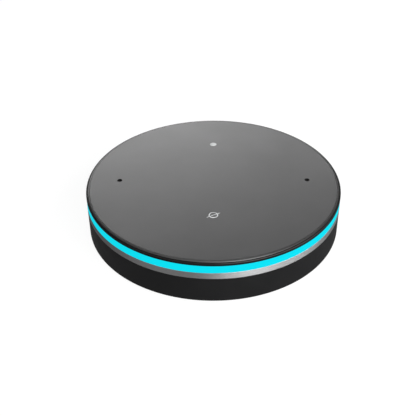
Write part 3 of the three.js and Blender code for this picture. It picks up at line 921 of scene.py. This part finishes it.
def light_chamber():
    """The white reflector behind the light ring, and the round board with its lights."""
    low, high = extent("light_reflector")[1:]
    bore, wall, outer, floor = 40, 40.6, 47.6, low + 0.5
    profile = rounded([
        (bore, low, 0.1), (outer, low, 0.1), (outer, floor, 0.1), (wall, floor, 0.3), (wall, high, 0.15),
        (bore, high, 0.1),
    ], 5)
    round_piece("light_reflector", profile, WHITE_PLASTIC, steps=FINE)
    outer, low, high = extent("led_board")
    inner = outer - 3.4
    holes = [circle(0.55, 20, polar(inner + 0.9, 45 * i)) for i in range(8)]
    board = plate([circle(outer, FINE), circle(inner, FINE), *holes], low, high, 0.04)
    place(board, BOARD_WHITE, "led_board")
    resistors("led_board_resistors", (1.0, 0.5, 0.35), ring_of(inner + 1, high, range(12, 360, 45), 90))
    capacitors("led_board_capacitors", (1.0, 0.5, 0.5), ring_of(inner + 1, high, range(32, 360, 45), 90))
    for i in range(8):
        side_led(f"ring_led_{i + 1}", 45 * (i + 0.5), 1.6, 3.0)


# ------------------------ frame and main board


def mid_frame():
    """The plate between the boards, with its screw bosses and stiffening ribs."""
    radius, _, high = extent("mid_frame")
    low = high - 1.2
    windows = [sector(19, 28, at - 32, at + 32, 24, 1.2) for at in (0, 90, 180, 270)]
    slot = rectangle(2.6, 12, 0.6, (-33.5, 0))
    made = plate([circle(radius, FINE), circle(14.5), slot, *windows], low, high, 0.15)
    for at in SCREWS:
        boss = [circle(2.8, 40, at), circle(1.05, 24, at)]
        carve(made, plate(boss, 3.7, low + 0.5, 0.15), "UNION")
    for angle in range(-150, 160, 20):
        if min(abs(abs(angle) - taken) for taken in (45, 135, 180)) >= 12:
            rib = block((14, 0.8, 1.2), (*polar(37, angle), low - 1.0), angle, 0.12)
            carve(made, rib, "UNION")
    place(made, FRAME_PLASTIC, "mid_frame")


def main_board():
    outer, low, high = extent("main_board")
    inner = 24
    made = plate([circle(outer, FINE), circle(inner)], low, high)
    for at in SCREWS:
        cut(made, [circle(3.4, 40, at)], low - 1, high + 1)
    place(made, BOARD, "main_board")
    vias("main_board_vias", inner + 0.8, high, 4)


def board_parts():
    """Capacitors, resistors, coils, a crystal and the speaker's socket, on the main board."""
    z = extent("main_board")[2]

    def groups(*angles):
        return sum((grid(polar(33, angle), angle, 3, 2, 3.2, 1.6, z, 90) for angle in angles), [])

    rim = ring_of(41.8, z, (-100, -88, -76, -64, 70, 110, 170, 190))
    inside = ring_of(26.5, z, (30, 42, 54, 66, 100, 112, 124), 90)
    capacitors("board_capacitors", (1.6, 0.8, 0.8), groups(28, 68, 112, 160, 200) + rim + inside)
    rim = ring_of(41.8, z, (-20, -14, 14, 20, 27, 154, 160, 206))
    resistors("board_resistors", (1.6, 0.8, 0.45), groups(-86, -50) + rim)
    core = lathe(rounded([
        (0, 0), (2.4, 0, 0.3), (2.4, 0.8, 0.1), (1.9, 1, 0.1), (1.9, 2, 0.1), (2.4, 2.2, 0.1),
        (2.4, 2.9, 0.3), (0, 2.9),
    ]), 48)
    coils = [(*polar(37.5, angle), z, 0) for angle in (104, 122)]
    extra("power_inductors", scatter(core, coils), FERRITE)
    can = combine([block((3.4, 2.7, 0.15), edge=0.03), block((3.0, 2.3, 0.75), edge=0.22)])
    extra("crystal", moved(can, (*polar(33, -20), z), 70), TIN)
    socket = block((6, 4, 2.6), edge=0.25)
    carve(socket, block((5, 3, 4), (0, -0.9, 0.6), edge=0))
    pins = [block((0.5, 2.4, 0.5), (x, -0.4, 1.1), edge=0.08) for x in (-1, 1)]
    whole = moved(combine([socket], pins), (*polar(29, -150), z), -60)
    extra("speaker_connector", whole, [WHITE_PLASTIC, TIN])


def chips():
    full = size_of("processor")
    for node, wide, deep, turn, count in (
        ("processor", full.x, full.y, 0, 0), ("memory_chip", 11, 8, -18, 0),
        ("amplifier_chip", 5.76, 5.76, 48, 7),
    ):
        made = chip(Vector((wide, deep, size_of(node).z)), underside(node), turn, count)
        place(made, [CHIP, TIN], node)
    node = "thermal_pad"
    place(block(size_of(node), underside(node), edge=0.25), THERMAL, node)


def heat_spreader():
    low, high = extent("heat_spreader")[1:]
    holes = [circle(1.0, 32, polar(31.5, angle)) for angle in (-122, -54)]
    outline = sector(25.5, 37.4, -128, -48, 48, 1.2)
    made = plate([outline, *holes], low, high, 0.12)
    for r in (27.5, 29, 30.5, 32, 33.5, 35):
        cut(made, [sector(r - 0.35, r + 0.35, -117, -59, 40, 0.34)], high - 0.3, high + 1)
    place(made, SPREADER, "heat_spreader")


def wireless_module():
    """A shield can with folded walls and vent holes, on its own small board with plated edges."""
    node, thick = "wireless_module", 0.6
    size = size_of(node)
    base = block((size.x, size.y, thick), edge=0.03)
    can = block((size.x - 0.8, size.y - 3, size.z - thick), (0, -1.1, thick), edge=0.18)
    holes = [circle(0.35, 16, (x * 1.9, y * 1.9 - 1.1)) for x in range(-2, 3) for y in (-2, -1, 1, 2)]
    cut(can, holes, size.z - 0.2, size.z + 1)
    antenna = block((5.0, 1.6, 0.7), (0, size.y / 2 - 1.2, thick), edge=0.06)
    pads = [block((0.22, 0.7, 0.62), (side * (size.x / 2 - 0.1), (j - 5) * 1.2, 0), edge=0.02)
            for side in (-1, 1) for j in range(11)]
    whole = moved(combine([can], [base], pads, [antenna]), underside(node))
    place(whole, [TIN, BOARD, COPPER, CERAMIC], node)


def usb_socket():
    """A drawn steel shell round a tongue with gold contacts. Its mouth is at the back."""
    size, at = size_of("usb_socket"), SOCKET_AT
    back, mouth = at.y - size.y / 2, at.y + size.y / 2

    def ring(y, shrink, radius):
        return upright(rectangle(size.x - shrink, size.z - shrink, radius, (0, at.z), 8), y)

    shell = loft([ring(back, 0, 1.3), ring(mouth - 0.12, 0, 1.3), ring(mouth, 0.16, 1.24)])
    carve(shell, loft([
        ring(back + 1, 0.6, 1.05), ring(mouth - 0.2, 0.6, 1.05), ring(mouth + 0.01, 0.3, 1.15),
        ring(mouth + 1, 0.3, 1.15),
    ]))
    thick, thin = rectangle(6.7, 0.7, 0.2, (0, at.z)), rectangle(6.3, 0.45, 0.15, (0, at.z))
    tongue = loft([upright(thick, back + 0.5), upright(thick, mouth - 1.35), upright(thin, mouth - 1)])
    contacts = [block((0.26, 3.6, 0.04), ((i - 5.5) * 0.5, mouth - 3.4, at.z + rise), edge=0.01)
                for rise in (-0.37, 0.33) for i in range(12)]
    stays = [block((0.5, 1.2, 0.9), (side * (size.x / 2 - 0.3), y, at.z - size.z / 2), edge=0.05)
             for side in (-1, 1) for y in (back + 1.2, mouth - 2.2)]
    place(combine([shell, *stays], [tongue], contacts), [TIN, FRAME_PLASTIC, GOLD], "usb_socket")


def ribbon_connector():
    node = "ribbon_connector"
    size = size_of(node)
    front, back = 0.65 - size.x / 2, size.x / 2 - 0.26
    body = block((size.x - 1.3, size.y, size.z), (0.65, 0, 0), edge=0.12)
    latch = block((1.2, size.y - 0.6, size.z * 0.5), (front, 0, size.z * 0.5), edge=0.12)
    bed = block((1.25, size.y, size.z * 0.35), (front, 0, 0), edge=0.06)
    toes = [block((0.5, 0.3, 0.2), (back, (i - 9.5) * 0.54, 0), edge=0.03) for i in range(20)]
    whole = moved(combine([body, bed], [latch], toes), underside(node))
    place(whole, [WHITE_PLASTIC, FRAME_PLASTIC, TIN], node)


def ribbon_cable():
    """An amber film with copper tracks, bent into a U, with a stiffener at each end."""
    node, thick, bend, start = "ribbon_cable", 0.3, 1.2, -30.1
    low_corner, high_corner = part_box(node)
    left, low, high, end = low_corner.x / MM, low_corner.z / MM, high_corner.z / MM, high_corner.x / MM

    def run(inset):
        """The cable's path, inset from its outer face."""
        r, x = bend - inset, left + bend
        lower = [(start, low + inset), *arc(r, 270, 180, 10, (x, low + bend))]
        return lower + [*arc(r, 180, 90, 10, (x, high - bend)), (end, high - inset)]

    def strip(outside, inside, y_low, y_high):
        section = run(outside) + run(inside)[::-1]
        return loft([upright(section, y) for y in (y_low, y_high)])

    film = strip(0.07, thick - 0.07, -5, 5)
    tracks = [strip(0.02, 0.08, y - 0.16, y + 0.16) for y in [(i - 9) * 0.5 for i in range(19)]]
    ends = [block((2.4, 10, 0.07), (x - 1.2, 0, z), edge=0.01)
            for x, z in ((start, low), (end, high - 0.07))]
    place(combine([film], tracks, ends), [FLEX, COPPER, THERMAL], node)


def antennas():
    """Two films, each with a copper track that winds to and fro."""
    inner, outer, wide, arms = 31.3, 35.2, 0.6, 7
    for side, start in (("right", 22), ("left", 118)):
        node = f"antenna_{side}"
        low, high = extent(node)[1:]
        film = plate([sector(30.5, 36, start, start + 40, 24, 0.8)], low, high - 0.06, 0.02)
        tracks = []
        for i in range(arms):
            a = start + 4 + i * 5
            tracks.append(sector(inner, outer, a, a + 1.3, 3))
            r = outer - wide if i % 2 else inner
            if i < arms - 1:
                tracks.append(sector(r, r + wide, a, a + 6.3, 6))
        copper = [plate([outline], high - 0.07, high, 0.01) for outline in tracks]
        place(combine([film], copper), [FLEX, COPPER], node)


# ------------------------ driver. Its flange's front is at DRIVER_Z


def raised(profile):
    """A profile in the driver's own heights, lifted to where the driver is."""
    return [(r, z + DRIVER_Z) for r, z in profile]


def basket():
    made = lathe(raised(rounded([
        (18.2, 0, 0.1), (21.2, 0, 0.15), (21.2, 0.8, 0.2), (20.3, 0.8, 0.15), (20.3, 3.2, 0.6),
        (14.3, 5.7, 0.5), (9, 5.7, 0.1), (9, 5, 0.1), (13.7, 5, 0.3), (19.6, 2.9, 0.4), (19.6, 0.8),
        (18.2, 0.8, 0.1),
    ])), MEDIUM)
    for at in range(0, 360, 60):
        cut(made, [sector(15, 18.9, at - 18, at + 18, 16, 0.8)], DRIVER_Z + 2, DRIVER_Z + 8)
    place(made, ZINC, "speaker_basket")
    z, angle = DRIVER_Z + 3.4, 30
    tag = block((1.6, 5, 0.6), (*polar(19.3, angle), z), angle, 0.08)
    lugs = [block((2.0, 1.0, 0.2), (*polar(19.8, angle + lean), z + 0.6), angle, 0.05)
            for lean in (-4, 4)]
    extra("speaker_terminals", combine([tag], lugs), [CONE_PAPER, TIN])


def magnet_parts():
    yoke = rounded([
        (0, 6), (4.7, 6, 0.2), (4.7, 9.85, 0.15), (12.6, 9.85, 0.3), (12.6, 11.05, 0.35), (2.4, 11.05, 0.1),
        (2.0, 10.75, 0.1), (0, 10.75),
    ])
    round_piece("speaker_yoke", raised(yoke), ZINC)
    round_piece("pole_plate", raised(tube(5.8, 12.4, 5.75, 6.75, 0.08, 0.2)), ZINC)
    round_piece("speaker_magnet", raised(tube(7.2, 13, 6.8, 9.8, 0.25, 0.35, 3)), FERRITE)
    round_piece("speaker_gasket", raised(tube(18.6, 21.2, -0.5, -0.05, 0.1, 0.15)), FOAM)


def voice_coil():
    """Enamelled wire in one layer, turn by turn, on the upper half of a thin former."""
    outer, low, high = extent("voice_coil")
    former, wire, turns = outer - 0.14, 0.07, 16
    last = high - 0.1
    first = last - 2 * wire * turns
    wound = [(former, first), (former, last)]
    for i in reversed(range(turns)):
        middle = first + wire * (2 * i + 1)
        wound += [(former + wire * (1 + cos(a)), middle + wire * sin(a)) for a in (1.4, 0.7, 0, -0.7, -1.4)]
    round_piece("voice_coil", wound, COPPER, "diaphragm", 64, 60)
    sleeve = lathe(tube(outer - 0.4, former - 0.01, low, high), 64)
    extra("voice_coil_former", sleeve, SPREADER, "diaphragm")


def cone():
    """Pressed paper with three rings of stiffening ripple, and its dust cap."""
    inner, outer, neck, mouth, thick, steps = 5.55, 15.4, 3.4, 0.8, 0.36, 60

    def face(lift):
        points = []
        for s in [i / steps for i in range(steps + 1)]:
            ripple = 0.07 * sin(tau * 3 * (s - 0.3) / 0.45) if 0.3 < s < 0.75 else 0
            points.append((inner + (outer - inner) * s, neck + (mouth - neck) * s + lift + ripple))
        return points

    round_piece("speaker_cone", raised(face(0.02) + face(thick)[::-1]), CONE_PAPER, "diaphragm", sharp=50)
    rim, rise, low, steps = 5.9, 1.15, 2.9, 16
    dome = [(rim * i / steps, low - rise * (1 - (i / steps) ** 2)) for i in range(steps + 1)]
    cap = dome + [(r, z + 0.3) for r, z in reversed(dome)]
    round_piece("dust_cap", raised(cap), CONE_PAPER, "diaphragm", sharp=50)


def flexing(node, profile, material):
    """A ring between the basket, at its outer edge, and the cone, at its inner edge."""
    obj = lathe(raised(profile), MEDIUM)
    obj.data.transform(Matrix.Scale(MM, 4))
    obj.data.materials.append(material)
    obj.data.shade_smooth()
    obj.data.set_sharp_from_angle(angle=radians(50))
    true_places = [vertex.co.copy() for vertex in obj.data.vertices]
    for vertex in obj.data.vertices:
        vertex.co = (hypot(vertex.co.x, vertex.co.y), 0, 0)
    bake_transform(obj)
    for vertex, true_place in zip(obj.data.vertices, true_places):
        vertex.co = true_place
    obj.name = f"fine_{node}"
    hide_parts(node)


def suspension():
    """The half roll round the cone, and the waves of the spider behind it."""
    low, thick, roll, inner, middle, outer = 0.9, 0.25, 1.25, 15.5, 16.9, 18.9
    under = [(inner, low), *arc(roll, 180, 0, 24, (middle, low)), (outer, low)]
    over = [(r, z + thick) for r, z in reversed(under)]
    flexing("surround", under + over, SURROUND_RUBBER)
    inner, outer, level, swing, waves, steps = 5.55, 13.5, 4.35, 0.3, 4, 96
    wave = [(inner + (outer - inner) * s, level + swing * sin(tau * waves * s))
            for s in [i / steps for i in range(steps + 1)]]
    cloth = wave + [(r, z + 0.22) for r, z in reversed(wave)]
    flexing("spider", cloth, SPIDER_CLOTH)


# ------------------------ fasteners


def case_screws():
    """Pan-head screws, head down, with a cross recess and a rolled thread."""
    head, shank, core, crest, pitch, tip, top = 2.0, 2.9, 0.68, 0.95, 0.7, 9.9, 2.55
    count, rows = 24, 80
    for i, at in enumerate(SCREWS):
        profile = [(0, 1.6), *arc(0.45, -90, 0, 6, (head - 0.45, 2.05)), (head, top), (0, top)]
        made = lathe(profile, 40)
        for turn in (0, 90):
            slots = [stadium(2.5 - sink, 0.55 - sink / 3, turn) for sink in (0, 0.9)]
            carve(made, loft([[(x, y, z) for x, y in slot] for slot, z in zip(slots, (1.5, 2.2))]))
        rings = []
        for z in [top + (tip - top) * row / rows for row in range(rows + 1)]:
            ring = []
            for k in range(count):
                phase = ((z - shank) / pitch - k / count) % 1
                ridge = max(0, 1 - abs(phase - 0.5) / 0.32) * (crest - core)
                r = (core + ridge) * min(1, (tip + 0.35 - z) / 0.8) if z > shank else 0.9
                ring.append((*polar(r, 360 * k / count), z))
            rings.append(ring)
        place(moved(combine([made, loft(rings)]), (at.x, at.y, 0)), ZINC, f"case_screw_{i + 1}")


# ------------------------ floor, light and camera


def stage():
    """A pale floor. The glossy pieces don't mirror it, as in a studio where the sweep is far off."""
    bpy.ops.mesh.primitive_plane_add(size=12)
    floor = bpy.context.object
    floor.name = "floor"
    glow = {"Emission_Color": (1, 1, 1, 1), "Emission_Strength": 0.93}
    made = Finish("pale_floor", (0.1, 0.1, 0.1), 0.9, Specular_IOR_Level=0.0, **glow)
    floor.data.materials.append(made.material)
    floor.visible_glossy = False


def sky():
    """Studio air: dim overhead, brighter near the horizon, and dark below it and to the sides. The camera
    itself sees a white wall."""
    world = bpy.data.worlds.new("studio")
    bpy.context.scene.world = world
    world.use_nodes = True
    air = Graph(world.node_tree)
    split = air.node("ShaderNodeSeparateXYZ")
    air.link(air.node("ShaderNodeTexCoord").outputs["Generated"], split.inputs[0])
    x, _, z = split.outputs
    ramp = air.node("ShaderNodeValToRGB")
    air.link(z, ramp.inputs["Fac"])
    stops = [(0.0, 0.14), (0.01, 0.32), (0.32, 0.3), (0.42, 0.2), (1.0, 0.2)]  # (height, brightness)
    marks = ramp.color_ramp.elements
    marks[0].position, marks[1].position = stops[0][0], stops[-1][0]
    for height, _ in stops[1:-1]:
        marks.new(height)
    for mark, (_, level) in zip(marks, stops):
        mark.color = (level, level, level, 1)
    sideways = air.math("MULTIPLY", air.math("ABSOLUTE", x, 0.0), air.math("GREATER_THAN", z, 0.0))
    shaded = air.node("ShaderNodeVectorMath", operation="SCALE")
    air.link(ramp.outputs["Color"], shaded.inputs[0])
    air.link(air.spread(sideways, 1.02, 0.2, 0.3, 0.65), shaded.inputs["Scale"])
    seen = air.node("ShaderNodeLightPath").outputs["Is Camera Ray"]
    air.link(air.mix(seen, shaded.outputs[0], (1, 1, 1)), air.tree.nodes["Background"].inputs["Color"])


def softbox(name, azimuth, elevation, distance, wide, tall, watts, spares=()):
    """A soft light that looks at the speaker. Azimuth 0 is in front and 90 to the right. The pieces that it
    spares aren't lit by it."""
    data = bpy.data.lights.new(name, "AREA")
    data.shape = "RECTANGLE"
    data.size, data.size_y = wide, tall
    data.energy = watts
    obj = linked(name, data)
    a, e = radians(azimuth), radians(elevation)
    towards = Vector((sin(a) * cos(e), -cos(a) * cos(e), sin(e)))
    obj.location = towards * distance
    obj.rotation_euler = towards.to_track_quat("Z", "Y").to_euler()
    obj.visible_camera = False
    if spares:
        spared = bpy.data.collections.new(f"spared_by_{name}")
        obj.light_linking.receiver_collection = spared
        for piece in spares:
            spared.objects.link(piece)
        for row in spared.collection_objects:
            row.light_linking.link_state = "EXCLUDE"


def lights():
    """Boxes in front for the side bands, kept off the flat top, and boxes behind that the top mirrors."""
    flat, border = (bpy.data.objects[name] for name in ("fine_top_plate", "plate_edge"))
    top = [flat, border]
    softbox("key", 27.5, 25, 0.9, 0.62, 0.8, 9.2, [flat])
    softbox("key_side", 48, 25, 0.9, 0.8, 0.8, 2.9, top)
    softbox("right", 70, 25, 0.9, 0.5, 0.8, 4.5, top)
    softbox("far_right", 105, 30, 1.2, 0.7, 0.7, 3.2, top)
    softbox("left", -50, 30, 1.2, 1.0, 0.7, 3.0, top)
    softbox("back", 180, 15, 1.2, 0.9, 0.65, 3.05)
    softbox("back_left", -160, 15, 1.2, 0.9, 0.65, 2.1)


def camera():
    """Looks at the middle of the top from about six of its radii away. Three small turns then set the
    speaker a little off the middle of the picture."""
    data = bpy.data.cameras.new("camera")
    data.sensor_width = 36
    data.lens = 64.8
    obj = linked("camera", data)
    tilt, distance, pan, lift, roll = radians(33.80), 0.29643, 0.409, -2.018, -0.166
    back = Vector((0, -cos(tilt), sin(tilt)))
    stand = Matrix.Translation(Vector((0, 0, TOP_Z * MM)) + back * distance)
    stand @= (-back).to_track_quat("-Z", "Y").to_matrix().to_4x4()
    for angle, axis in ((pan, "Y"), (lift, "X"), (roll, "Z")):
        stand @= Matrix.Rotation(radians(angle), 4, axis)
    obj.matrix_world = stand
    bpy.context.scene.camera = obj


for build in (
    camera, stage, sky,
    top_plate, plate_edge, mic_sleeves, icons, side_rings, base_shell, bottom_cover, feet, lights,
    touch_board, microphones, icon_lights, light_chamber,
    mid_frame, main_board, board_parts, chips, heat_spreader, wireless_module, usb_socket,
    ribbon_connector, ribbon_cable, antennas,
    basket, magnet_parts, voice_coil, cone, suspension,
    case_screws,
):
    build()

bpy.context.scene.view_settings.view_transform = "Standard"
